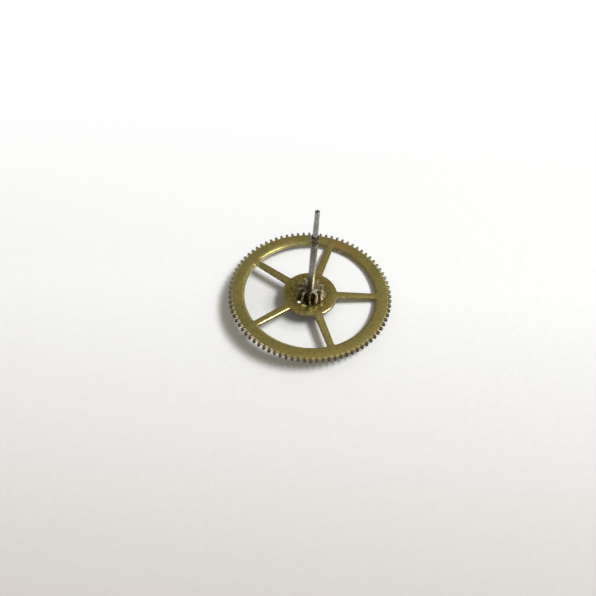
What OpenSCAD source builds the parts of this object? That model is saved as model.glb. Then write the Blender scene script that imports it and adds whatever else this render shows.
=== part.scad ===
// Seconds wheel of a pocket watch: brass train wheel, riveted steel pinion and arbor.
// Millimetres. +Z runs up the arbor, from the short rear pivot to the long seconds pivot.
// The origin is on the arbor's axis, at the tip of the rear pivot.

/* [Wheel] */
// Diameter over the tooth tips
wheel_d = 12; // [10:0.1:20]
// Thickness of the wheel blank
wheel_t = 0.25; // [0.2:0.01:0.6]
// Number of wheel teeth
tooth_n = 84; // [60:1:120]
// Height of a tooth above the pitch circle
tooth_addendum = 0.14; // [0.08:0.01:0.25]
// Depth of a tooth space below the pitch circle
tooth_dedendum = 0.13; // [0.08:0.01:0.3]
// Play by which a tooth is thinner than half the pitch
tooth_play = 0.015; // [0:0.005:0.04]
// Width of the flat land on a tooth's tip
tooth_land = 0.05; // [0.01:0.005:0.07]
// Radius in the corners of a tooth space
tooth_root_r = 0.03; // [0.01:0.005:0.035]
// Width of the solid rim inside the teeth
rim_w = 0.91; // [0.4:0.01:1.5]
// Turn of the teeth against the first arm, in degrees
tooth_turn = 0.56; // [0:0.01:4]

/* [Arms and hub] */
// Number of arms
arm_n = 5; // [3:1:6]
// Width of an arm where it leaves the hub
arm_w_hub = 0.56; // [0.3:0.01:0.9]
// Width of an arm where it meets the rim
arm_w_rim = 0.48; // [0.3:0.01:0.8]
// Radius in the corners of the windows between the arms
window_r = 0.14; // [0.05:0.01:0.3]
// Diameter of the hub
hub_d = 3.95; // [3.2:0.05:5]
// Diameter of the polished sink around the pinion, at the hub's face
sink_d = 2.28; // [2.1:0.02:3]
// Depth of the sink
sink_depth = 0.05; // [0.02:0.01:0.12]
// Width of the sink's sloping wall
sink_slope = 0.06; // [0.02:0.01:0.1]

/* [Pinion] */
// Number of pinion leaves
leaf_n = 10; // [7:1:12]
// Diameter over the leaves
pinion_d = 1.90; // [1.7:0.02:2.04]
// Length of the leaves above the hub's face
leaf_len = 0.82; // [0.5:0.02:2]
// Height of a leaf above the pitch circle
leaf_addendum = 0.15; // [0.08:0.01:0.2]
// Depth of a leaf space below the pitch circle
leaf_dedendum = 0.20; // [0.1:0.01:0.22]
// Part of the pitch that a leaf takes up
leaf_share = 0.42; // [0.36:0.01:0.46]
// Width of the rounded land on a leaf's tip
leaf_land = 0.05; // [0.02:0.01:0.08]
// Radius in the corners of a leaf space
leaf_root_r = 0.05; // [0.02:0.01:0.06]
// Turn of the leaves against the first arm, in degrees
leaf_turn = 13; // [0:0.5:36]
// Diameter of the seat that carries the wheel
seat_d = 1.10; // [0.9:0.02:1.16]
// Diameter of the countersink around the arbor, in the pinion's upper face
face_sink_d = 0.88; // [0.7:0.02:1.1]
// Depth of that countersink
face_sink_depth = 0.10; // [0.04:0.01:0.2]
// Diameter of the rivet under the hub
rivet_d = 1.42; // [1.3:0.02:1.8]
// Height of the rivet
rivet_h = 0.09; // [0.05:0.01:0.14]

/* [Arbor] */
// Diameter of the arbor
arbor_d = 0.50; // [0.42:0.01:0.52]
// Distance from the hub's face to the shoulder
shoulder_h = 6.35; // [4:0.05:9]
// Diameter of the collar, over its two rounded bands
collar_d = 0.59; // [0.58:0.01:0.8]
// Length of the collar
collar_len = 0.78; // [0.6:0.02:1.2]
// Length of the collar's upper band
collar_band = 0.33; // [0.2:0.01:0.4]
// Width of the groove in the collar
groove_w = 0.17; // [0.08:0.01:0.19]
// Depth of the groove's round bottom, below the edges of the bands
groove_depth = 0.035; // [0.02:0.005:0.05]
// How far each band rounds off towards its edges
band_round = 0.03; // [0.01:0.005:0.035]

/* [Seconds pivot] */
// Diameter of the bearing stretch, above the shoulder
pivot_d = 0.39; // [0.36:0.01:0.42]
// Length of the bearing stretch
pivot_len = 1.00; // [0.5:0.05:1.5]
// Length of the taper between bearing and hand seat
taper_len = 0.85; // [0.3:0.05:2]
// Diameter of the hand seat
hand_d = 0.35; // [0.24:0.01:0.38]
// Length of the hand seat
hand_len = 0.60; // [0.3:0.05:1]
// Radius on the pivot's end
tip_r = 0.05; // [0.02:0.01:0.08]

/* [Rear end] */
// Diameter of the rear pivot
rear_pivot_d = 0.18; // [0.16:0.01:0.28]
// Length of the rear pivot
rear_pivot_len = 0.40; // [0.2:0.02:0.8]
// Diameter of the rear shoulder
rear_face_d = 0.34; // [0.3:0.01:0.4]
// Length of the cone between the rear shoulder and the arbor
rear_cone_len = 0.08; // [0.05:0.01:0.3]
// Length of arbor between that cone and the wheel
rear_stub = 0.23; // [0.15:0.01:0.6]

/* [Hidden] */
$fn = 96;
brass = [0.56, 0.47, 0.21];
steel = [0.46, 0.45, 0.44];
polished_steel = [0.58, 0.59, 0.58];
// How far a cutter runs past the face that it cuts
over = 0.2;
// Steps along each rounded tooth side and in each root corner
round_steps = 4;
root_steps = 2;
tip_steps = 4;
// Steps along each band of the collar and across its groove
band_steps = 6;
wheel_r = wheel_d / 2;
tooth_pitch_r = wheel_r - tooth_addendum;
tooth_root_circle = tooth_pitch_r - tooth_dedendum;
tooth_half = PI * tooth_pitch_r / tooth_n / 2 - tooth_play / 2;
rim_in_r = tooth_root_circle - rim_w;
hub_r = hub_d / 2;
leaf_pitch_r = pinion_d / 2 - leaf_addendum;
leaf_root_circle = leaf_pitch_r - leaf_dedendum;
leaf_half = PI * leaf_pitch_r / leaf_n * leaf_share;
wheel_z = rear_pivot_len + rear_cone_len + rear_stub;
hub_z = wheel_z + wheel_t;
sink_z = hub_z - sink_depth;
pinion_top_z = hub_z + leaf_len;
shoulder_z = hub_z + shoulder_h;
collar_z = shoulder_z - collar_len;
groove_top_z = shoulder_z - collar_band;
groove_low_z = groove_top_z - groove_w;
band_edge_r = collar_d / 2 - band_round;
taper_z = shoulder_z + pivot_len;
hand_z = taper_z + taper_len;
tip_z = hand_z + hand_len;
// An arm's side is a straight line: its lean against the arm's middle, and its distance from the axis
arm_lean = atan((arm_w_rim - arm_w_hub) / 2 / (rim_in_r - hub_r));
arm_side = arm_w_hub / 2 * cos(arm_lean) - hub_r * sin(arm_lean);
echo(module_mm = 2 * tooth_pitch_r / tooth_n, overall_height_mm = tip_z);

// A point at radius r and at an arc's length w beside the direction a
function beside(r, w, a) = [r * cos(a + w / r * 180 / PI), r * sin(a + w / r * 180 / PI)];

// Half of a tooth as [radius, half width]: a rounded root corner, a radial flank up to the
// pitch circle, then an arc tangent to that flank up to the land on the tip
function tooth_side(root_r, pitch_r, tip_r, half, land, corner_r) =
    let (
        foot = half * root_r / pitch_r,
        rise = tip_r - pitch_r,
        draw = half - land / 2,
        arc_r = (rise * rise + draw * draw) / (2 * draw)
    )
    concat(
        [for (k = [0 : root_steps])
            let (t = 90 * k / root_steps)
            [root_r + corner_r * (1 - cos(t)), foot + corner_r * (1 - sin(t))]],
        [for (k = [0 : round_steps])
            let (h = rise * k / round_steps)
            [pitch_r + h, half - (arc_r - sqrt(arc_r * arc_r - h * h))]]
    );

// Outline of a whole toothed wheel with n teeth
module toothed_outline(n, turn, side) {
    last = len(side) - 1;
    polygon([
        for (i = [0 : n - 1])
            let (a = turn + 360 * i / n)
            for (k = [0 : 2 * last + 1])
                k <= last
                    ? beside(side[k][0], -side[k][1], a)
                    : beside(side[2 * last + 1 - k][0], side[2 * last + 1 - k][1], a)
    ]);
}

// The sliver of metal that rounds one corner of a window. The corner lies between an arm's
// side and the circle of radius ring_r; wall is 1 at the rim and -1 at the hub
module corner_fillet(ring_r, wall) {
    reach = ring_r - wall * window_r;
    cy = arm_side + window_r;
    cx = sqrt(reach * reach - cy * cy);
    grow = (ring_r + wall * window_r / 2) / reach;
    rotate(arm_lean)
        difference() {
            polygon([
                [cx, arm_side],
                [ring_r + wall * window_r / 2, arm_side],
                [cx * grow, cy * grow],
                [cx, cy]
            ]);
            translate([cx, cy])
                circle(r = window_r);
        }
}

// One arm with its four rounded corners, along +X
module arm() {
    far = rim_in_r + rim_w / 2;
    near = hub_r / 2;
    far_half = (arm_side + far * sin(arm_lean)) / cos(arm_lean);
    near_half = (arm_side + near * sin(arm_lean)) / cos(arm_lean);
    polygon([
        [near, -near_half],
        [far, -far_half],
        [far, far_half],
        [near, near_half]
    ]);
    for (flip = [0, 1])
        mirror([0, flip])
            union() {
                corner_fillet(rim_in_r, 1);
                corner_fillet(hub_r, -1);
            }
}

// The windows between hub, arms and rim
module windows() {
    difference() {
        circle(r = rim_in_r);
        circle(r = hub_r);
        for (i = [0 : arm_n - 1])
            rotate(360 / arm_n * i)
                arm();
    }
}

// Brass wheel: teeth, rim, arms and hub in one blank, with the sink and the bore
module wheel() {
    color(brass)
        difference() {
            translate([0, 0, wheel_z])
                linear_extrude(height = wheel_t)
                    difference() {
                        toothed_outline(tooth_n, tooth_turn, tooth_side(
                            tooth_root_circle, tooth_pitch_r, wheel_r,
                            tooth_half, tooth_land, tooth_root_r));
                        windows();
                    }
            translate([0, 0, sink_z])
                cylinder(h = sink_depth, r1 = sink_d / 2 - sink_slope, r2 = sink_d / 2);
            translate([0, 0, hub_z])
                cylinder(h = over, d = sink_d);
            translate([0, 0, wheel_z - over])
                cylinder(h = wheel_t + 2 * over, d = seat_d);
        }
}

// Steel pinion: leaves on the hub, the seat through the wheel and the rivet below it
module pinion() {
    color(steel)
        difference() {
            union() {
                translate([0, 0, sink_z])
                    linear_extrude(height = pinion_top_z - sink_z)
                        toothed_outline(leaf_n, leaf_turn, tooth_side(
                            leaf_root_circle, leaf_pitch_r, pinion_d / 2,
                            leaf_half, leaf_land, leaf_root_r));
                translate([0, 0, wheel_z])
                    cylinder(h = wheel_t, d = seat_d);
                translate([0, 0, wheel_z - rivet_h])
                    cylinder(h = rivet_h, d1 = seat_d, d2 = rivet_d);
            }
            translate([0, 0, pinion_top_z - face_sink_depth])
                cylinder(h = face_sink_depth, d1 = arbor_d, d2 = face_sink_d);
            translate([0, 0, pinion_top_z])
                cylinder(h = over, d = face_sink_d);
            translate([0, 0, wheel_z - rivet_h - over])
                cylinder(h = pinion_top_z - wheel_z + rivet_h + 2 * over, d = arbor_d);
        }
}

// A quarter round of radius r, from the shaft's side to its end face, as points of a turned profile
function end_round(shaft_r, face_z, r, up) = [
    for (k = [0 : tip_steps])
        let (t = 90 * (up ? k : tip_steps - k) / tip_steps)
        [shaft_r - r * (1 - cos(t)), face_z + (up ? -1 : 1) * r * (1 - sin(t))]
];

// One rounded band of the collar, from the height low to the height high, as points of the profile
function rounded_band(low, high) = [
    for (k = [0 : band_steps])
        let (t = 2 * k / band_steps - 1)
        [collar_d / 2 - band_round * t * t, low + (high - low) * k / band_steps]
];

// The round bottom of the groove between the two bands
groove_bottom = [
    for (k = [1 : band_steps - 1])
        let (t = 2 * k / band_steps - 1)
        [band_edge_r - groove_depth * sqrt(1 - t * t), groove_low_z + groove_w * k / band_steps]
];

// Half section of the arbor, from the rear pivot up to the seconds pivot
arbor_profile = concat(
    [[0, 0]],
    end_round(rear_pivot_d / 2, 0, tip_r, false),
    [
        [rear_pivot_d / 2, rear_pivot_len],
        [rear_face_d / 2, rear_pivot_len],
        [arbor_d / 2, rear_pivot_len + rear_cone_len],
        [arbor_d / 2, collar_z]
    ],
    rounded_band(collar_z, groove_low_z),
    groove_bottom,
    rounded_band(groove_top_z, shoulder_z),
    [
        [pivot_d / 2, shoulder_z],
        [pivot_d / 2, taper_z],
        [hand_d / 2, hand_z]
    ],
    end_round(hand_d / 2, tip_z, tip_r, true),
    [[0, tip_z]]
);

// Steel arbor with both pivots, the collar and its groove
module arbor() {
    color(polished_steel)
        rotate_extrude()
            polygon(arbor_profile);
}

wheel();
pinion();
arbor();
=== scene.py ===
import math
import bpy
import bmesh
import numpy as np
from mathutils import Matrix, Vector
from mathutils.geometry import delaunay_2d_cdt


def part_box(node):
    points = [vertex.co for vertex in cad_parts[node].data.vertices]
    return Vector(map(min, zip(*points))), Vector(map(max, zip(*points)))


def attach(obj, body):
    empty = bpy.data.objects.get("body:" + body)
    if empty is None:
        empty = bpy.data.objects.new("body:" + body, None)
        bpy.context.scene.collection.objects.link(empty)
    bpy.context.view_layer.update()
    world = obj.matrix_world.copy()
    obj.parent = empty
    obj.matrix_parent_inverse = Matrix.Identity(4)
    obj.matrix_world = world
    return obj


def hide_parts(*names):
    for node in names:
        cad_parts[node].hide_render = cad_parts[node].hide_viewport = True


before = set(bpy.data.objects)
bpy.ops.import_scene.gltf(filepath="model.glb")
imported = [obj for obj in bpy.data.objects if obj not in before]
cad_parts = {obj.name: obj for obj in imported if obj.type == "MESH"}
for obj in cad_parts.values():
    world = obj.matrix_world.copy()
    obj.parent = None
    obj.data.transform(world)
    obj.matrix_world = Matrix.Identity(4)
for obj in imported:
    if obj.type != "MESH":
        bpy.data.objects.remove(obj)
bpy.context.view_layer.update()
MM = 0.001

# Wheel. One thin brass blank: 84 teeth cut around the rim, five windows pierced between the
# arms, a polished sink turned around the centre. The upper edges of the windows are rounded and
# polished, most of all along the rim; the other edges are only broken. A rivet holds it.
wheel_low, wheel_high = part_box("wheel")
wheel_z = wheel_low.z
hub_z = wheel_high.z
tip_circle = 6.0 * MM
tooth_count = 84
tooth_addendum = 0.14 * MM
tooth_dedendum = 0.13 * MM
tooth_play = 0.015 * MM
tooth_land = 0.05 * MM
tooth_corner = 0.03 * MM
tooth_turn = math.radians(0.56)
tooth_pitch = tip_circle - tooth_addendum
tooth_root = tooth_pitch - tooth_dedendum
tooth_half = math.pi * tooth_pitch / tooth_count / 2 - tooth_play / 2
rim_width = 0.91 * MM
rim_inner = tooth_root - rim_width
hub_radius = 1.975 * MM
arm_count = 5
arm_at_hub = 0.56 * MM
arm_at_rim = 0.48 * MM
window_corner = 0.14 * MM
sink_radius = 1.14 * MM
sink_depth = 0.05 * MM
sink_slope = 0.06 * MM
seat_radius = 0.55 * MM
tooth_edge = 0.032 * MM
burr_edge = 0.014 * MM
under_edge = 0.02 * MM
arm_edge = 0.06 * MM
rim_edge = 0.14 * MM
polish_edge = 0.15 * MM
polish_turn = math.radians(124)
edge_change = 0.3 * MM
edge_slope = 0.46
edge_bevel = 1.5
tip_ease, side_ease, land_ease = 1.4, 0.8, 0.5
below_leaves = 0.8 * MM
tooth_steps = 3
turned_steps = 192
weld_distance = 2e-8


def toothed_loop(count, turn, root, pitch, tip, half, land, corner, steps):
    """Outline of a toothed wheel, counter-clockwise. Up each side of a tooth: a quarter circle in
    the root corner, a radial flank to the pitch circle, then an arc tangent to the flank whose
    radius is (rise^2 + draw^2) / 2 draw, so that it ends at half the land's width on the tip."""
    t = np.linspace(0, np.pi / 2, steps + 1)
    foot = half * root / pitch
    corner_side = np.stack([root + corner * (1 - np.cos(t)), foot + corner * (1 - np.sin(t))], 1)
    rise, draw = tip - pitch, half - land / 2
    arc = (rise**2 + draw**2) / (2 * draw)
    h = np.linspace(0, rise, 2 * steps + 1)
    tip_side = np.stack([pitch + h, half - arc + np.sqrt(arc**2 - h**2)], 1)
    side = np.concatenate([corner_side, tip_side])
    both = np.concatenate([side * [1, -1], side[::-1]])
    angle = turn + 2 * np.pi * np.arange(count)[:, None] / count + both[:, 1] / both[:, 0]
    return np.stack([both[:, 0] * np.cos(angle), both[:, 0] * np.sin(angle)], -1).reshape(-1, 2)


def turned_by(points, angle):
    """Points turned about the axis: (x cos a - y sin a, x sin a + y cos a)."""
    c, s = np.cos(angle), np.sin(angle)
    return points @ np.array([[c, s], [-s, c]])


def circle_loop(radius, count, start=0.0, end=2 * np.pi):
    """Points (r cos a, r sin a) at even steps of a from start up to, but not at, end."""
    a = np.linspace(start, end, count, endpoint=False)
    return np.stack([radius * np.cos(a), radius * np.sin(a)], 1)


def window_loop(index, corner_steps=8, rim_steps=60, hub_steps=32):
    """Outline of one window, clockwise. An arm's side is a line at a distance, side, from the axis,
    leaning by lean. The corner circles, of radius f, touch it and the rim or the hub, so their
    centres lie at height side + f, and at reach rim_inner - f or hub_radius + f from the axis."""
    lean = math.atan((arm_at_rim - arm_at_hub) / 2 / (rim_inner - hub_radius))
    side = arm_at_hub / 2 * math.cos(lean) - hub_radius * math.sin(lean)
    f = window_corner
    corners = []
    for reach, outward in ((hub_radius + f, False), (rim_inner - f, True)):
        centre = np.array([math.sqrt(reach**2 - (side + f) ** 2), side + f])
        slope = math.atan2(centre[1], centre[0])
        if outward:
            a = np.linspace(-np.pi / 2, slope, corner_steps + 1)
        else:
            a = np.linspace(slope + np.pi, 1.5 * np.pi, corner_steps + 1)
        corners.append(centre + f * np.stack([np.cos(a), np.sin(a)], 1))
    half = turned_by(np.concatenate(corners), lean - math.pi / arm_count)
    at_rim = math.atan2(-half[-1, 1], half[-1, 0])
    at_hub = math.atan2(-half[0, 1], half[0, 0])
    rim_arc = circle_loop(rim_inner, rim_steps, -at_rim, at_rim)[1:]
    hub_arc = circle_loop(hub_radius, hub_steps, at_hub, -at_hub)[1:]
    loop = np.concatenate([half, rim_arc, half[::-1] * [1, -1], hub_arc])[::-1]
    return turned_by(loop, (2 * index + 1) * math.pi / arm_count)


def inset(loop, by):
    """Each point of a closed loop moved to its left, along the mitre of its two edges."""
    along = np.roll(loop, -1, 0) - loop
    along /= np.linalg.norm(along, axis=1)[:, None]
    left = np.stack([-along[:, 1], along[:, 0]], 1)
    mitre = left + np.roll(left, 1, 0)
    mitre /= (mitre * left).sum(1)[:, None]
    return loop + np.reshape(by, (-1, 1)) * mitre


def window_edge(loop):
    """How far the rounding reaches in from each point of a window's outline: arm_edge along arms
    and hub, changing by 3 s^2 - 2 s^3 to rim_edge at the rim, and there wider by up to polish_edge
    on the side that was polished most."""
    s = np.clip((np.linalg.norm(loop, axis=1) - rim_inner) / edge_change + 1, 0, 1)
    side = np.clip(np.cos(np.arctan2(loop[:, 1], loop[:, 0]) - polish_turn), 0, 1) ** 2
    at_rim = rim_edge + polish_edge * side
    return arm_edge + (at_rim - arm_edge) * (3 * s**2 - 2 * s**3)


def rolled_wall(loop, face, top, low, deep, under, flat=1.0, steps=6):
    """Side wall along a loop that has metal on its left. The upper edge rolls over from the loop of
    the face to the wall: a part 1 - sin^flat t of the way in, at depth deep (1 - cos^flat t), with
    t from 0 to 90 degrees. That is round at flat = 1 and nearer to a bevel above it. The lower
    edge is a quarter circle of radius under."""
    t = np.linspace(0, np.pi / 2, steps + 1)
    ins, drop = 1 - np.sin(t) ** flat, 1 - np.clip(np.cos(t), 0, 1) ** flat
    upper = [(loop + (face - loop) * i, top - deep * d) for i, d in zip(ins, drop)]
    ins, drop = 1 - np.sin(t[::-1]), 1 - np.cos(t[::-1])
    lower = [(inset(loop, under * i), low + under * d) for i, d in zip(ins, drop)]
    return np.stack([np.column_stack([ring, z + 0 * ring[:, 0]]) for ring, z in upper + lower])


def turned(profile, count=turned_steps):
    """Surface of revolution: each profile point (r, z) carried round the axis."""
    profile = np.asarray(profile)
    a = np.linspace(0, 2 * np.pi, count, endpoint=False)
    r, z = profile[:, 0][:, None], profile[:, 1][:, None]
    return np.stack([r * np.cos(a), r * np.sin(a), z + 0 * a], -1)


def within(points, loop):
    """True for the points inside a closed loop, whose ray along +X crosses it an odd number of
    times."""
    x, y = points[:, 0][:, None], points[:, 1][:, None]
    ax, ay = loop[:, 0], loop[:, 1]
    bx, by = np.roll(ax, -1), np.roll(ay, -1)
    spans = (ay > y) != (by > y)
    cross = ax + (y - ay) * (bx - ax) / np.where(by == ay, 1e-30, by - ay)
    return (spans & (x < cross)).sum(1) % 2 == 1


def flat_patch(outer, holes, z):
    """The flat face between an outer loop and its holes, filled with triangles that keep every
    edge of the loops (a constrained Delaunay fill)."""
    loops = [outer, *holes]
    points = np.concatenate(loops)
    edges, start = [], 0
    for loop in loops:
        i = np.arange(len(loop))
        edges += (np.stack([i, (i + 1) % len(loop)], 1) + start).tolist()
        start += len(loop)
    big = points / MM
    made, _, tris, *_ = delaunay_2d_cdt([Vector(p) for p in big], edges, [], 1, 1e-7)
    made = np.array([tuple(p) for p in made]) * MM
    tris = np.array(tris)
    middle = made[tris].mean(1)
    keep = within(middle, outer)
    for hole in holes:
        keep &= ~within(middle, hole)
    return np.column_stack([made, np.full(len(made), z)]), tris[keep]


def sheet_faces(grid):
    """Quads between neighbouring rows of a grid whose columns close on themselves."""
    rows, cols = grid.shape[:2]
    i = np.arange(rows - 1)[:, None] * cols
    j = np.arange(cols)
    k = (j + 1) % cols
    return np.stack([i + j, i + k, i + k + cols, i + j + cols], -1).reshape(-1, 4)


def make_piece(name, sheets, flats, materials, sharp=35):
    """One closed mesh of rolled or turned sheets and flat patches, each given with the index of its
    material. Points that coincide are welded, and the faces are turned outwards."""
    mesh = bpy.data.meshes.new(name)
    points, faces, slots, smooth, start = [], [], [], [], 0
    for grid, slot in sheets:
        quads = sheet_faces(grid)
        points.append(grid.reshape(-1, 3))
        faces += (quads + start).tolist()
        slots += [slot] * len(quads)
        smooth += [True] * len(quads)
        start += len(points[-1])
    for (flat_points, tris), slot in flats:
        points.append(flat_points)
        faces += (tris + start).tolist()
        slots += [slot] * len(tris)
        smooth += [False] * len(tris)
        start += len(flat_points)
    mesh.from_pydata(np.concatenate(points).tolist(), [], faces)
    mesh.polygons.foreach_set("material_index", slots)
    mesh.polygons.foreach_set("use_smooth", smooth)
    shape = bmesh.new()
    shape.from_mesh(mesh)
    bmesh.ops.remove_doubles(shape, verts=shape.verts, dist=weld_distance)
    bmesh.ops.dissolve_degenerate(shape, edges=shape.edges, dist=weld_distance / 20)
    bmesh.ops.recalc_face_normals(shape, faces=shape.faces)
    shape.to_mesh(mesh)
    shape.free()
    mesh.set_sharp_from_angle(angle=math.radians(sharp))
    for material in materials:
        mesh.materials.append(material)
    piece = bpy.data.objects.new(name, mesh)
    bpy.context.scene.collection.objects.link(piece)
    return piece


def new_material(name):
    """A material with only its Principled shader, and a function that adds a node to its tree:
    inputs are values, or sockets to link."""
    material = bpy.data.materials.new(name)
    material.use_nodes = True
    tree = material.node_tree

    def add(kind, inputs=(), **settings):
        node = tree.nodes.new(kind)
        for key, value in settings.items():
            setattr(node, key, value)
        for key, value in dict(inputs).items():
            if isinstance(value, bpy.types.NodeSocket):
                tree.links.new(value, node.inputs[key])
            else:
                node.inputs[key].default_value = value
        return node

    return material, tree.nodes["Principled BSDF"], add


def feed(node, name, socket):
    """Links a socket to the named input of a node."""
    node.id_data.links.new(socket, node.inputs[name])


def measured(add):
    """The place on the piece in millimetres, its three parts, and the distance from the axis."""
    place = add("ShaderNodeTexCoord").outputs["Object"]
    mm = add("ShaderNodeMapping", {"Vector": place, "Scale": 3 * (1 / MM,)}).outputs[0]
    x, y, z = add("ShaderNodeSeparateXYZ", {0: mm}).outputs
    flat = add("ShaderNodeCombineXYZ", {0: x, 1: y}).outputs[0]
    radius = add("ShaderNodeVectorMath", {0: flat}, operation="LENGTH").outputs["Value"]
    return mm, x, y, z, radius


def noise(add, at, scale, detail, output=0):
    """Noise as a grey, or as a colour from output 1."""
    inputs = {"Vector": at, "Scale": scale, "Detail": detail}
    return add("ShaderNodeTexNoise", inputs).outputs[output]


def ramp(add, source, *stops):
    """Colour or grey ramp: stops are (position, value)."""
    node = add("ShaderNodeValToRGB", {0: source})
    elements = node.color_ramp.elements
    while len(elements) < len(stops):
        elements.new(0.5)
    for element, (position, value) in zip(elements, stops):
        element.position = position
        element.color = (value, value, value, 1) if isinstance(value, float) else (*value, 1)
    return node.outputs[0]


def fading(add, value, start, end, first=0.0, last=1.0):
    """A grey that goes from first to last while the value goes from start to end."""
    return add("ShaderNodeMapRange", {0: value, 1: start, 2: end, 3: first, 4: last}).outputs[0]


def near_point(add, mm, x, y, reach, stretch=1.0, most=1.0):
    """A spot around the upright line through (x, y) in mm: its value is most in an even middle of
    0.55 times the reach and falls to 0 at the reach, which is stretched along Y."""
    even = 0.55 * reach
    off = add("ShaderNodeVectorMath", {0: mm, 1: (-x, -y, 0)}).outputs[0]
    squeeze = (1, 1 / stretch, 0)
    plan = add("ShaderNodeVectorMath", {0: off, 1: squeeze}, operation="MULTIPLY").outputs[0]
    away = add("ShaderNodeVectorMath", {0: plan}, operation="LENGTH").outputs["Value"]
    return fading(add, away, even, reach, most, 0.0)


def larger(add, one, other):
    """The larger of two greys."""
    return add("ShaderNodeMath", {0: one, 1: other}, operation="MAXIMUM").outputs[0]


def product(add, one, other):
    """Two greys multiplied."""
    return add("ShaderNodeMath", {0: one, 1: other}, operation="MULTIPLY").outputs[0]


def less(add, one, other):
    """One grey less another."""
    return add("ShaderNodeMath", {0: one, 1: other}, operation="SUBTRACT").outputs[0]


def blended(add, part, colour, other, way="MIX"):
    """A colour that gives way by the given part to another, or to the two mixed in another way."""
    inputs = {0: part, 6: colour, 7: other}
    return add("ShaderNodeMix", inputs, data_type="RGBA", blend_type=way).outputs[2]


def times(add, colour, by):
    """Two colours, or a colour and a grey, multiplied."""
    return blended(add, 1.0, colour, by, "MULTIPLY")


# Colour and place of a painted glint beside the pinion: a white spot that stands in for a
# highlight.
painted_glint_colour = (1.0, 0.97, 0.85, 1)
painted_glint_spot = (-0.80, -0.80, 0.17)


def brass_face():
    """Flat faces of the wheel: old brass, dull and a little green, with browner patches, fine
    turned lines and a fine grain. The underside is darkened, painted shade. The hub around the
    pinion is darker, most on the left and just in front of the pinion: painted shade, mottled like
    oil. The tooth tips are darker at the front, oil and painted shade, and grey at the back, wear
    and a painted reflection of the bright paper. Beside the pinion lie a white painted glint and,
    more matt, three painted reflections."""
    material, shader, add = new_material("brass_face")
    mm, x, y, z, radius = measured(add)
    patches = noise(add, mm, 0.55, 5.0)
    spots = noise(add, mm, 5.0, 4.0)
    grain = noise(add, mm, 9.0, 2.0, 1)

    dull, green, warm = (0.325, 0.278, 0.098), (0.40, 0.335, 0.112), (0.42, 0.34, 0.115)
    tone = ramp(add, patches, (0.34, dull), (0.52, green), (0.68, warm))
    dark, plain, light = (0.62, 0.60, 0.55), (1.0, 1.0, 1.0), (1.14, 1.12, 1.08)
    stain = ramp(add, spots, (0.30, dark), (0.48, plain), (0.75, light))
    brown = near_point(add, mm, 2.6, 4.9, 1.6, most=0.5)
    cover = blended(add, brown, times(add, tone, stain), (0.44, 0.29, 0.10, 1))
    grainy = blended(add, 0.45, cover, grain, "OVERLAY")

    # Painted shade: the hub is darker around the pinion, most on the left, away from the lamp, and
    # darkest just in front of the pinion. It is mottled like oil.
    around_pinion = fading(add, radius, 1.45, 2.2, 1.0, 0.0)
    hub = product(add, around_pinion, fading(add, x, 0.4, 1.5, 1.0, 0.45))
    hub_shade_and_oil = ramp(add, spots, (0.35, (0.60, 0.58, 0.45)), (0.62, (0.95, 0.94, 0.84)))
    darkest_front = near_point(add, mm, 0.10, -1.70, 0.55, 1.2, 0.65)
    hub_shade_and_oil = blended(add, darkest_front, hub_shade_and_oil, (0.40, 0.33, 0.16, 1))
    grainy = blended(add, hub, grainy, times(add, grainy, hub_shade_and_oil))

    # Tooth tips: darker at the front, oil and painted shade; grey at the back, wear and a painted
    # reflection of the bright paper.
    at_teeth = fading(add, radius, 5.66, 5.84)
    oil_and_shade_front = fading(add, y, 1.5, -1.5)
    wear_and_mirrored_grey = (0.36, 0.335, 0.25, 1)
    tooth = blended(add, oil_and_shade_front, wear_and_mirrored_grey, times(add, grainy, (0.50, 0.46, 0.44, 1)))
    colour = blended(add, at_teeth, grainy, tooth)

    # Painted reflections: three pale, matt patches in front of and beside the pinion stand in for
    # highlights on the hub. Like the painted glint, they show only on the upper face.
    painted_reflections = near_point(add, mm, -0.40, -1.10, 0.19)
    for spot in ((0.07, -1.55, 0.10, 4.0, 0.55), (0.85, -1.00, 0.10, 2.0, 0.9)):
        painted_reflections = larger(add, painted_reflections, near_point(add, mm, *spot))
    above = fading(add, z, 0.80, 0.90)
    painted_glint = product(add, near_point(add, mm, *painted_glint_spot), above)
    painted_reflections = product(add, painted_reflections, above)
    colour = blended(add, painted_reflections, colour, (0.34, 0.295, 0.125, 1))
    # Painted shade: the underside is darkened.
    colour = times(add, colour, fading(add, z, 0.72, 0.80, 0.45, 1.0))
    feed(shader, "Base Color", blended(add, painted_glint, colour, painted_glint_colour))
    feed(shader, "Metallic", less(add, 1.0, larger(add, painted_glint, painted_reflections)))
    rough = ramp(add, spots, (0.3, 0.46), (0.7, 0.34))
    feed(shader, "Roughness", less(add, rough, product(add, hub, 0.12)))

    flat = add("ShaderNodeCombineXYZ", {0: x, 1: y}).outputs[0]
    unit = add("ShaderNodeVectorMath", {0: flat}, operation="NORMALIZE").outputs[0]
    around = add("ShaderNodeVectorMath", {0: unit, "Scale": 1.6}, operation="SCALE").outputs[0]
    turn_x, turn_y, _ = add("ShaderNodeSeparateXYZ", {0: around}).outputs
    outward = product(add, radius, 26.0)
    polar = add("ShaderNodeCombineXYZ", {0: turn_x, 1: turn_y, 2: outward}).outputs[0]
    lines = noise(add, polar, 1.0, 3.0)
    height = add("ShaderNodeMix", {0: 0.35, 2: lines, 3: spots}, data_type="FLOAT").outputs[0]
    bump = add("ShaderNodeBump", {"Height": height, "Strength": 0.35, "Distance": 0.01 * MM})
    feed(shader, "Normal", bump.outputs[0])
    return material


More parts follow.
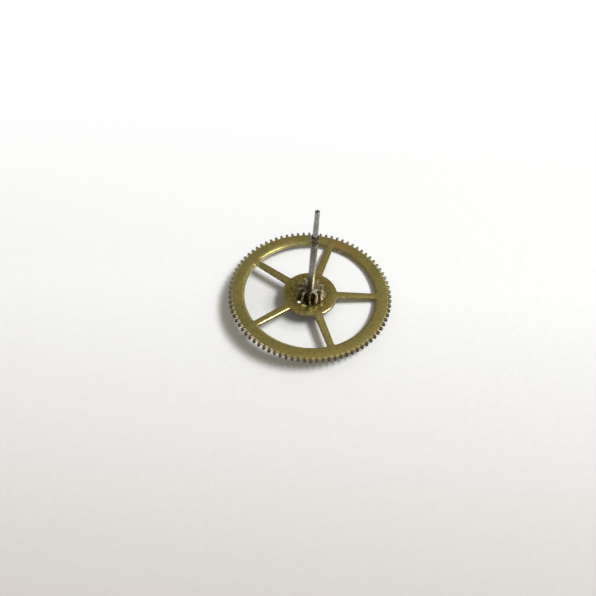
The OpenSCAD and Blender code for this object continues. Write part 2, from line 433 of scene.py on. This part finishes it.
def brass_wall():
    """Window walls and their upper edges. The upright wall is matt, stained brass; at the back left
    of the rim it is paler, a painted reflection of the lit paper. Where the piece's own normal
    turns up, arms and hub are clean and polished, but for two spots darkened and dulled, painted
    shade where no highlight should show; the rim is covered by a thin, brownish lacquer there,
    which shines weaker than metal and is lighter on the left, a painted sheen near its highlight."""
    material, shader, add = new_material("brass_wall")
    mm, x, _, _, radius = measured(add)
    grain = noise(add, mm, 5.0, 4.0)
    normal = add("ShaderNodeTexCoord").outputs["Normal"]
    up = add("ShaderNodeSeparateXYZ", {0: normal}).outputs[2]
    clean = fading(add, up, 0.10, 0.50)
    at_rim = fading(add, radius, 4.50, 4.70)
    film = product(add, clean, at_rim)
    # Painted shade: two spots near window corners take the dark stained colour and lose their
    # polish, so that no highlight shows there.
    dull = larger(
        add, near_point(add, mm, 2.12, -0.31, 0.50), near_point(add, mm, 1.90, 4.38, 0.42)
    )
    bright = less(add, clean, dull)
    stain = ramp(add, grain, (0.35, (0.15, 0.115, 0.065)), (0.65, (0.34, 0.27, 0.15)))
    polish = ramp(add, grain, (0.35, (0.38, 0.31, 0.115)), (0.65, (0.50, 0.41, 0.16)))
    lacquer = ramp(add, grain, (0.35, (0.24, 0.200, 0.076)), (0.65, (0.33, 0.280, 0.108)))
    # Painted sheen: the lacquer is lighter on the left, near its highlight, and darker on the
    # right.
    darker = times(add, lacquer, (0.58, 0.55, 0.50, 1))
    lacquer = blended(add, fading(add, x, 0.2, -0.7), darker, lacquer)
    # Painted reflection: a pale, matt patch on the rim's wall at the back left stands in for the
    # lit paper it mirrors.
    pale = product(add, near_point(add, mm, -3.55, 3.20, 2.5), at_rim)
    wall = blended(add, pale, stain, (0.86, 0.74, 0.48, 1))
    colour = blended(add, film, blended(add, bright, wall, polish), lacquer)
    feed(shader, "Base Color", colour)
    metal = less(add, 1.0, larger(add, film, pale))
    feed(shader, "Metallic", larger(add, metal, 0.19))
    feed(shader, "Roughness", ramp(add, bright, (0.0, 0.58), (1.0, 0.21)))
    shader.inputs["Specular IOR Level"].default_value = 0.0
    return material


def tooth_wall():
    """Flanks and edges of the teeth: brass, clean at the roots and palest at the front left, a
    painted reflection of the lit paper; the tips are dark at the front, oil and painted shade, and
    grey at the back, wear and a painted reflection of the bright paper."""
    material, shader, add = new_material("tooth_wall")
    mm, _, y, _, radius = measured(add)
    grain = noise(add, mm, 6.0, 4.0)
    root = ramp(add, grain, (0.35, (0.34, 0.275, 0.115)), (0.65, (0.50, 0.415, 0.18)))
    # Painted reflection: the roots are palest at the front left, where they stand in for the lit
    # paper that they mirror.
    front_left = near_point(add, mm, -4.6, -3.6, 3.4, most=0.8)
    root = blended(add, front_left, root, (0.84, 0.76, 0.58, 1))
    oil = ramp(add, grain, (0.35, (0.035, 0.028, 0.018)), (0.65, (0.16, 0.125, 0.07)))
    # Tips: dark at the front, oil and painted shade; grey at the back, wear and a painted
    # reflection of the bright paper.
    tip_oil_and_reflection = blended(add, fading(add, y, 1.5, -1.5), (0.34, 0.31, 0.23, 1), oil)
    tip = fading(add, radius, 5.74, 5.88)
    feed(shader, "Base Color", blended(add, tip, root, tip_oil_and_reflection))
    feed(shader, "Metallic", ramp(add, tip, (0.0, 0.25), (1.0, 0.9)))
    shader.inputs["Roughness"].default_value = 0.48
    return material


def brass_sink():
    """The sink around the pinion: turned bright, then stained by oil; on its lip at the right a
    speckled painted highlight, a painted glint at the front left and a painted highlight by the
    leaf tips at the front right.
    """
    material, shader, add = new_material("brass_sink")
    mm, *_ = measured(add)
    spots = noise(add, mm, 3.0, 3.0)
    grain = noise(add, mm, 9.0, 2.0)
    tone = ramp(add, spots, (0.35, (0.16, 0.125, 0.055)), (0.65, (0.36, 0.30, 0.14)))
    # Painted highlight: speckled pale patches along the sink's lip on the right.
    lip_glint_tone = ramp(add, grain, (0.42, (0.18, 0.15, 0.06)), (0.62, (0.58, 0.53, 0.29)))
    painted_highlight = near_point(add, mm, 1.10, 0.16, 0.40, 1.5)
    tone = blended(add, painted_highlight, tone, lip_glint_tone)
    painted_glint = near_point(add, mm, *painted_glint_spot)
    # Painted highlights: the glint, and a pale spot beside the leaf tips at the front right.
    pale = larger(add, painted_glint, near_point(add, mm, 0.88, -0.42, 0.11, most=0.7))
    feed(shader, "Base Color", blended(add, pale, tone, painted_glint_colour))
    feed(shader, "Metallic", less(add, 1.0, larger(add, pale, painted_highlight)))
    shader.inputs["Roughness"].default_value = 0.20
    return material


wheel_outline = toothed_loop(
    tooth_count, tooth_turn, tooth_root, tooth_pitch, tip_circle,
    tooth_half, tooth_land, tooth_corner, tooth_steps,
)
tooth_face = toothed_loop(
    tooth_count, tooth_turn, tooth_root - tooth_edge, tooth_pitch - tooth_edge,
    tip_circle - tip_ease * tooth_edge, tooth_half - side_ease * tooth_edge,
    land_ease * tooth_land, tooth_corner, tooth_steps,
)
tooth_foot = inset(wheel_outline, burr_edge)
windows = [window_loop(i) for i in range(arm_count)]
window_faces = [inset(w, window_edge(w)) for w in windows]
window_feet = [inset(w, under_edge) for w in windows]
sink_z = hub_z - sink_depth
lip = np.linspace(0, np.pi / 2, 6)
lip_profile = np.stack(
    [sink_radius - sink_slope * np.sin(lip), hub_z - sink_depth * (1 - np.cos(lip))], 1
)
sink_profile = [(below_leaves, sink_z), (seat_radius, sink_z), (seat_radius, wheel_z)]
wheel_centre = turned(np.concatenate([lip_profile, sink_profile]))
face_slot, wall_slot, tooth_slot, sink_slot = range(4)
tooth_walls = rolled_wall(wheel_outline, tooth_face, hub_z, wheel_z, tooth_edge, burr_edge)
window_walls = [
    rolled_wall(w, f, hub_z, wheel_z, edge_slope * window_edge(w), under_edge, edge_bevel)
    for w, f in zip(windows, window_faces)
]
upper_face = flat_patch(tooth_face, [*window_faces, wheel_centre[0, :, :2]], hub_z)
lower_face = flat_patch(tooth_foot, [*window_feet, wheel_centre[-1, :, :2]], wheel_z)
wheel = make_piece(
    "brass_wheel",
    [(tooth_walls, tooth_slot)]
    + [(wall, wall_slot) for wall in window_walls]
    + [(wheel_centre, sink_slot)],
    [(upper_face, face_slot), (lower_face, face_slot)],
    [brass_face(), brass_wall(), tooth_wall(), brass_sink()],
)
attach(wheel, "root")
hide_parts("wheel")

# Pinion. A small steel gear of ten straight leaves, hardened and polished, close on top of the
# hub. Its seat goes through the wheel's bore and is riveted over on the underside. A
# countersink in its upper face takes the arbor, which is pressed through it.
pinion_low, pinion_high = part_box("pinion")
pinion_top = pinion_high.z
leaf_count = 10
leaf_addendum = 0.15 * MM
leaf_dedendum = 0.20 * MM
leaf_share = 0.42
leaf_tip = 0.95 * MM
leaf_pitch = leaf_tip - leaf_addendum
leaf_root = leaf_pitch - leaf_dedendum
leaf_half = math.pi * leaf_pitch / leaf_count * leaf_share
leaf_land = 0.05 * MM
leaf_corner = 0.05 * MM
leaf_turn = math.radians(13)
leaf_steps = 6
leaf_roll = 0.018 * MM
face_sink_radius = 0.44 * MM
face_sink_depth = 0.10 * MM
rivet_radius = 0.71 * MM
rivet_slope = 0.02 * MM
rivet_edge = 0.03 * MM
arbor_radius = 0.25 * MM
round_steps = 96


def leaf_steel():
    """Polished pinion steel under dried oil: near black deep in the leaf spaces, oil and painted
    shade, darkest in one space at the front; grey-brown on the leaves, and a crust of grime and oil
    at the back. One part of the upper face is wiped clean, and the feet of two leaves carry painted
    highlights."""
    material, shader, add = new_material("leaf_steel")
    mm, _, y, z, radius = measured(add)
    spots = noise(add, mm, 3.0, 4.0)
    grain = noise(add, mm, 9.0, 2.0)
    # Painted shade with oil: the steel darkens deep in the leaf spaces.
    depth = fading(add, radius, 0.60, 0.86)
    gap_shade_and_oil = ramp(add, depth, (0.0, (0.40, 0.31, 0.23)), (1.0, (1.0, 1.0, 1.0)))
    steel = ramp(add, spots, (0.3, (0.265, 0.22, 0.17)), (0.7, (0.465, 0.41, 0.325)))
    crust = ramp(add, grain, (0.38, (0.060, 0.050, 0.022)), (0.65, (0.37, 0.325, 0.165)))
    back = fading(add, y, -0.45, 0.15, 0.0, 0.85)
    tone = blended(add, back, times(add, steel, gap_shade_and_oil), crust)
    bare = ramp(add, grain, (0.35, (0.22, 0.20, 0.15)), (0.65, (0.46, 0.43, 0.34)))
    wiped = product(add, near_point(add, mm, 0.36, -0.45, 0.36), fading(add, z, 1.70, 1.75))
    tone = blended(add, wiped, tone, bare)
    # Painted shade: one leaf space at the front is darkest.
    tone = blended(add, near_point(add, mm, -0.08, -0.95, 0.26), tone, (0.12, 0.09, 0.055, 1))
    # Painted highlights: pale, matt spots on the feet of two leaves on the right.
    painted_highlight = larger(
        add,
        near_point(add, mm, 0.90, -0.38, 0.20),
        near_point(add, mm, 0.50, -0.84, 0.23, most=0.9),
    )
    painted_highlight = product(add, painted_highlight, fading(add, z, 1.32, 1.60, 1.0, 0.30))
    feed(shader, "Base Color", blended(add, painted_highlight, tone, (1.0, 0.94, 0.72, 1)))
    feed(shader, "Roughness", ramp(add, spots, (0.3, 0.38), (0.7, 0.24)))
    matt = larger(add, larger(add, back, painted_highlight), wiped)
    feed(shader, "Metallic", less(add, 1.0, matt))
    shader.inputs["Specular IOR Level"].default_value = 0.2
    return material


leaf_outline = toothed_loop(
    leaf_count, leaf_turn, leaf_root, leaf_pitch, leaf_tip,
    leaf_half, leaf_land, leaf_corner, leaf_steps,
)
leaf_face = inset(leaf_outline, leaf_roll)
pinion_core = turned(
    [
        (face_sink_radius, pinion_top),
        (arbor_radius, pinion_top - face_sink_depth),
        (arbor_radius, pinion_low.z),
        (seat_radius, pinion_low.z),
        (rivet_radius - rivet_slope, wheel_z - rivet_edge),
        (rivet_radius, wheel_z),
        (seat_radius, wheel_z),
        (seat_radius, sink_z),
    ],
    round_steps,
)
leaf_walls = rolled_wall(leaf_outline, leaf_face, pinion_top, sink_z, leaf_roll, leaf_roll)
pinion = make_piece(
    "steel_pinion",
    [(leaf_walls, 0), (pinion_core, 0)],
    [
        (flat_patch(leaf_face, [pinion_core[0, :, :2]], pinion_top), 0),
        (flat_patch(leaf_face, [pinion_core[-1, :, :2]], sink_z), 0),
    ],
    [leaf_steel()],
)
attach(pinion, "root")
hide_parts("pinion")

# Arbor. One slim steel turning, pressed through the pinion: the short rear pivot, a grooved
# collar whose upper face is the shoulder, and the long pivot with a taper, which carries the
# hand on its thinner end. All of it is burnished; oil has dried in the groove.
shoulder_height = 6.35 * MM
collar_radius = 0.295 * MM
collar_length = 0.78 * MM
upper_band = 0.33 * MM
groove_width = 0.17 * MM
groove_depth = 0.035 * MM
band_round = 0.03 * MM
pivot_radius = 0.195 * MM
pivot_length = 1.0 * MM
taper_length = 0.85 * MM
hand_radius = 0.175 * MM
rear_radius = 0.09 * MM
rear_length = 0.40 * MM
rear_face_radius = 0.17 * MM
rear_cone = 0.08 * MM
rear_cone_z = rear_length + rear_cone
shoulder_z = hub_z + shoulder_height
collar_z = shoulder_z - collar_length
groove_top = shoulder_z - upper_band
groove_low = groove_top - groove_width
taper_z = shoulder_z + pivot_length
hand_z = taper_z + taper_length
_, arbor_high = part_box("arbor")
tip_z = arbor_high.z
fine_ease = 0.012 * MM
soft_ease = 0.04 * MM


def eased(points, radii, steps=5, most_cut=0.45):
    """A profile whose inner corners are rounded: at each corner, both legs are cut back by the
    given radius, to a and b, and joined by the curve (1-t)^2 a + 2t(1-t) corner + t^2 b."""
    points = np.asarray(points)
    made = [points[:1]]
    t = np.linspace(0, 1, steps)[:, None]
    for before, corner, after, radius in zip(points, points[1:], points[2:], radii):
        back, on = before - corner, after - corner
        a = corner + back * min(most_cut, radius / np.linalg.norm(back))
        b = corner + on * min(most_cut, radius / np.linalg.norm(on))
        made.append((1 - t) ** 2 * a + 2 * t * (1 - t) * corner + t**2 * b)
    made.append(points[-1:])
    return np.concatenate(made)


def arbor_steel():
    """Burnished steel with fine lines around the shaft; brown where oil has dried at the collar,
    and with a painted highlight, a pale streak for the lit hub's reflection, along the shaft's
    foot."""
    material, shader, add = new_material("arbor_steel")
    mm, _, _, z, _ = measured(add)
    spots = noise(add, mm, 4.0, 4.0)
    rings = add("ShaderNodeMapping", {"Vector": mm, "Scale": (0.6, 0.6, 30)}).outputs[0]
    lines = noise(add, rings, 1.0, 3.0)
    band = product(add, fading(add, z, 6.41, 6.68), fading(add, z, 7.32, 7.44, 1.0, 0.0))
    clean = ramp(add, spots, (0.3, (0.24, 0.23, 0.215)), (0.7, (0.36, 0.35, 0.33)))
    oily = ramp(add, spots, (0.35, (0.045, 0.034, 0.026)), (0.65, (0.17, 0.135, 0.10)))
    foot = fading(add, z, 2.6, 3.6, 1.0, 0.0)
    # Painted highlight: a pale streak on the shaft's foot stands in for the reflection of the lit
    # hub.
    streak = product(add, near_point(add, mm, 0.17, -0.19, 0.12), foot)
    colour = blended(add, streak, blended(add, band, clean, oily), (1.0, 0.96, 0.76, 1))
    feed(shader, "Base Color", colour)
    feed(shader, "Metallic", ramp(add, streak, (0.0, 1.0), (1.0, 0.4)))
    feed(shader, "Roughness", ramp(add, lines, (0.3, 0.30), (0.7, 0.19)))
    bump = add("ShaderNodeBump", {"Height": lines, "Strength": 0.4, "Distance": 0.004 * MM})
    feed(shader, "Normal", bump.outputs[0])
    return material


def rounded_band(low, high, steps=12):
    """One band of the collar: r = collar_radius - band_round t^2, t from -1 at low to 1 at high."""
    t = np.linspace(-1, 1, steps + 1)
    return np.stack([collar_radius - band_round * t**2, low + (high - low) * (t + 1) / 2], 1)


def groove_bottom(low, high, steps=12):
    """The groove's bottom between the bands: half an ellipse, r = edge - groove_depth
    (1 - t^2)^0.5."""
    t = np.linspace(-1, 1, steps + 1)[1:-1]
    edge = collar_radius - band_round
    return np.stack([edge - groove_depth * np.sqrt(1 - t**2), low + (high - low) * (t + 1) / 2], 1)


rear_profile = eased(
    [
        (0.0, 0.0),
        (rear_radius, 0.0),
        (rear_radius, rear_length),
        (rear_face_radius, rear_length),
        (arbor_radius, rear_cone_z),
        (arbor_radius, collar_z),
    ],
    [soft_ease, fine_ease, fine_ease, fine_ease],
)
pivot_profile = eased(
    [
        (collar_radius - band_round, shoulder_z),
        (pivot_radius, shoulder_z),
        (pivot_radius, taper_z),
        (hand_radius, hand_z),
        (hand_radius, tip_z),
        (0.0, tip_z),
    ],
    [fine_ease, soft_ease, soft_ease, soft_ease],
)
arbor_profile = np.concatenate(
    [
        rear_profile,
        rounded_band(collar_z, groove_low),
        groove_bottom(groove_low, groove_top),
        rounded_band(groove_top, shoulder_z),
        pivot_profile[1:],
    ]
)
arbor_skin = turned(arbor_profile, round_steps)
arbor = make_piece("steel_arbor", [(arbor_skin, 0)], [], [arbor_steel()])
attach(arbor, "root")
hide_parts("arbor")

# Paper. A sheet of white paper under the part. The part lies on it with the tip of its rear
# pivot and one side of its rim, so the sheet leans against the wheel; it isn't quite flat.
contact_turn = math.radians(32.0)
contact_radius = 0.985 * tip_circle
paper_half = 400 * MM
paper_rise = 0.11 * MM
rise_start = 1.5 * MM
rise_end = 5.0 * MM
rise_rows = 25


def paper_height(x, y):
    """Height of the sheet: a plane through the tip of the rear pivot that meets the rim's underside
    at the contact, and behind the middle a slight rise by t^2 (3 - 2t), t from 0 to 1 along Y."""
    def rise(at):
        t = np.clip((at - rise_start) / (rise_end - rise_start), 0, 1)
        return paper_rise * t * t * (3 - 2 * t)

    slope = (wheel_z - rise(contact_radius * math.sin(contact_turn))) / contact_radius
    return slope * (x * math.cos(contact_turn) + y * math.sin(contact_turn)) + rise(y)


def paper_material():
    """White paper with a faint mottle, greyer and warmer towards the viewer, painted shade, and
    with a painted shadow under the hub. Far behind the part it is plain white, also where metal
    mirrors it. From below it is clear, so that the underside can be seen."""
    material, shader, add = new_material("paper")
    mm, *_ = measured(add)
    back = {0: mm, 1: (0.06, 1.0, 0.0)}
    away = add("ShaderNodeVectorMath", back, operation="DOT_PRODUCT").outputs["Value"]
    # Painted shade: the sheet is greyer and warmer towards the viewer, where less light falls.
    near, middle, far = (0.68, 0.65, 0.60), (0.83, 0.82, 0.79), (0.97, 0.97, 0.95)
    fade = fading(add, away, -24.0, 6.0)
    sheet = ramp(add, fade, (0.0, near), (0.4, middle), (0.85, far))
    mottle = noise(add, mm, 2.5, 5.0)
    speck = ramp(add, mottle, (0.3, (0.97, 0.97, 0.97)), (0.7, (1.0, 1.0, 1.0)))
    # Painted shadow: the paper is darker under the hub.
    painted_hub_shadow = near_point(add, mm, -0.75, -0.15, 2.7, most=0.32)
    colour = blended(add, painted_hub_shadow, times(add, sheet, speck), (0.0, 0.0, 0.0, 1))
    feed(shader, "Base Color", colour)
    shader.inputs["Roughness"].default_value = 0.9
    shader.inputs["Specular IOR Level"].default_value = 0.1
    path = add("ShaderNodeLightPath").outputs
    seen = larger(add, path["Is Camera Ray"], path["Is Glossy Ray"])
    seen = larger(add, seen, path["Is Transmission Ray"])
    whiten = product(add, fading(add, away, 4.0, 20.0), seen)
    white = add("ShaderNodeEmission").outputs[0]
    lit = add("ShaderNodeMixShader", {0: whiten, 1: shader.outputs[0], 2: white}).outputs[0]
    behind = add("ShaderNodeNewGeometry").outputs["Backfacing"]
    clear = add("ShaderNodeBsdfTransparent").outputs[0]
    both = add("ShaderNodeMixShader", {0: behind, 1: lit, 2: clear}).outputs[0]
    feed(material.node_tree.nodes["Material Output"], "Surface", both)
    return material


paper_x, paper_y = np.meshgrid(
    [-paper_half, paper_half],
    np.concatenate([[-paper_half], np.linspace(rise_start, rise_end, rise_rows), [paper_half]]),
)
paper_points = np.stack([paper_x, paper_y, paper_height(paper_x, paper_y)], 2).reshape(-1, 3)
row = 2 * np.arange(len(paper_x) - 1)[:, None]
paper_mesh = bpy.data.meshes.new("paper")
paper_mesh.from_pydata(paper_points.tolist(), [], (row + [0, 1, 3, 2]).tolist())
paper_mesh.materials.append(paper_material())
paper = bpy.data.objects.new("paper", paper_mesh)
bpy.context.scene.collection.objects.link(paper)

# Camera. It looks down on the wheel at the photograph's angle. The wheel's upper face has its
# centre at one pixel of the photograph, and the distance and the focal length give its size.
photo_side = 596
centre_pixel = (310.1, 293.55)
focal_pixels = 964.0
camera_distance = 70.75 * MM
camera_elevation = math.radians(52.1)
camera_roll = math.radians(4.26)
camera_turn = math.radians(-2.9)
sensor_width = 36.0
clip_near = 1 * MM
clip_far = 10.0
look = np.array([
    [1, 0, 0],
    [0, -math.sin(camera_elevation), -math.cos(camera_elevation)],
    [0, math.cos(camera_elevation), -math.sin(camera_elevation)],
])
cr, sr = math.cos(camera_roll), math.sin(camera_roll)
ct, st = math.cos(camera_turn), math.sin(camera_turn)
rolled = np.array([[cr, -sr, 0], [sr, cr, 0], [0, 0, 1]]) @ look
seen = rolled @ np.array([[ct, st, 0], [-st, ct, 0], [0, 0, 1]])
aim = np.array([
    (centre_pixel[0] - photo_side / 2) / focal_pixels,
    (centre_pixel[1] - photo_side / 2) / focal_pixels,
    1.0,
])
stand = np.array([0, 0, hub_z]) - seen.T @ (aim * camera_distance)
camera_data = bpy.data.cameras.new("camera")
camera_data.sensor_width = sensor_width
camera_data.lens = focal_pixels / photo_side * sensor_width
camera_data.clip_start = clip_near
camera_data.clip_end = clip_far
camera = bpy.data.objects.new("camera", camera_data)
bpy.context.scene.collection.objects.link(camera)
camera.matrix_world = Matrix((
    (seen[0, 0], -seen[1, 0], -seen[2, 0], stand[0]),
    (seen[0, 1], -seen[1, 1], -seen[2, 1], stand[1]),
    (seen[0, 2], -seen[1, 2], -seen[2, 2], stand[2]),
    (0, 0, 0, 1),
))
bpy.context.scene.camera = camera

# Light. A pale room all around, and one broad soft lamp high on the right that throws the
# shadows to the left.
lamp_turn = math.radians(-5.8)
lamp_elevation = math.radians(60.3)
lamp_distance = 600 * MM
lamp_width = 300 * MM
lamp_height = 150 * MM
lamp_power = 3.20
lamp_colour = (0.965, 0.985, 1.03)
room_level = 0.325
room_colour = (1.0, 0.945, 0.845, 1)
world = bpy.data.worlds.new("room")
world.use_nodes = True
background = world.node_tree.nodes["Background"]
background.inputs["Color"].default_value = room_colour
background.inputs["Strength"].default_value = room_level
bpy.context.scene.world = world
lamp_data = bpy.data.lights.new("lamp", "AREA")
lamp_data.shape = "ELLIPSE"
lamp_data.size = lamp_width
lamp_data.size_y = lamp_height
lamp_data.energy = lamp_power
lamp_data.color = lamp_colour
lamp = bpy.data.objects.new("lamp", lamp_data)
toward = Vector((
    math.cos(lamp_turn) * math.cos(lamp_elevation),
    math.sin(lamp_turn) * math.cos(lamp_elevation),
    math.sin(lamp_elevation),
))
lamp.location = toward * lamp_distance
lamp.rotation_euler = toward.to_track_quat("Z", "Y").to_euler()
bpy.context.scene.collection.objects.link(lamp)

bpy.context.scene.view_settings.view_transform = "Standard"
bpy.context.view_layer.update()
